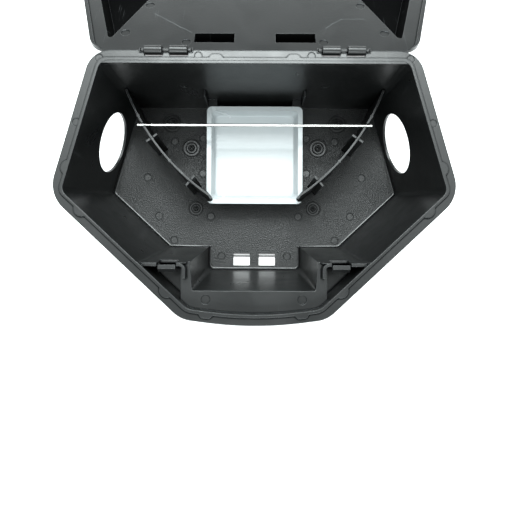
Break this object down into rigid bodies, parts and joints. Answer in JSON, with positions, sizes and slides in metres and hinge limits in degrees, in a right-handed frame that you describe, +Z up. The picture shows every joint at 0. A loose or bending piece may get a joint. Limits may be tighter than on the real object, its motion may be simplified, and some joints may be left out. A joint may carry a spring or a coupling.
{
  "type": "rodent bait station",
  "caption": "Open six-sided bait station: hinged lid, round entrance holes, curved baffles, bait rod and lift-out tray.",
  "frame": {"origin": "centre of the base's flat underside, on the ground", "axes": "+Z up, +Y towards the hinged rear, +X to the right when seen from the front with the front towards the viewer"},
  "size_m": [0.3212, 0.4138, 0.1113],
  "materials": {
    "black_plastic": "satin moulded polypropylene",
    "pin_plastic": "smooth moulded plastic",
    "steel_rod": "bright drawn wire",
    "clear_tray": "translucent milky polypropylene"
  },
  "bodies": {
    "base": {"base_shell": "black_plastic", "left_baffle": "black_plastic", "right_baffle": "black_plastic", "left_hinge_pin": "pin_plastic", "right_hinge_pin": "pin_plastic"},
    "lid": {"lid_shell": "black_plastic", "left_lid_hook": "black_plastic", "right_lid_hook": "black_plastic"},
    "tray": {"bait_tray": "clear_tray"},
    "rod": {"bait_rod": "steel_rod"},
    "left_tongue": {"left_lock_tongue": "black_plastic"},
    "right_tongue": {"right_lock_tongue": "black_plastic"}
  },
  "joints": [
    {"name": "lid_hinge", "type": "hinge", "parent": "base", "child": "lid", "pos_m": [0, 0.11, 0.1077], "axis": [-1, 0, 0], "range_deg": [-208.2, 0]},
    {"name": "tray_lift", "type": "slide", "parent": "base", "child": "tray", "axis": [0, 0, 1], "range_m": [0, 0.021]},
    {"name": "rod_lift", "type": "slide", "parent": "base", "child": "rod", "axis": [0, 0, 1], "range_m": [0, 0.06]},
    {"name": "left_tongue_flex", "type": "hinge", "parent": "base", "child": "left_tongue", "pos_m": [-0.0702, -0.0629, 0.0718], "axis": [-1, 0, 0], "range_deg": [0, 5], "stiffness_Nm_per_rad": 0.6},
    {"name": "right_tongue_flex", "type": "hinge", "parent": "base", "child": "right_tongue", "pos_m": [0.0702, -0.0629, 0.0718], "axis": [-1, 0, 0], "range_deg": [0, 5], "stiffness_Nm_per_rad": 0.6}
  ]
}
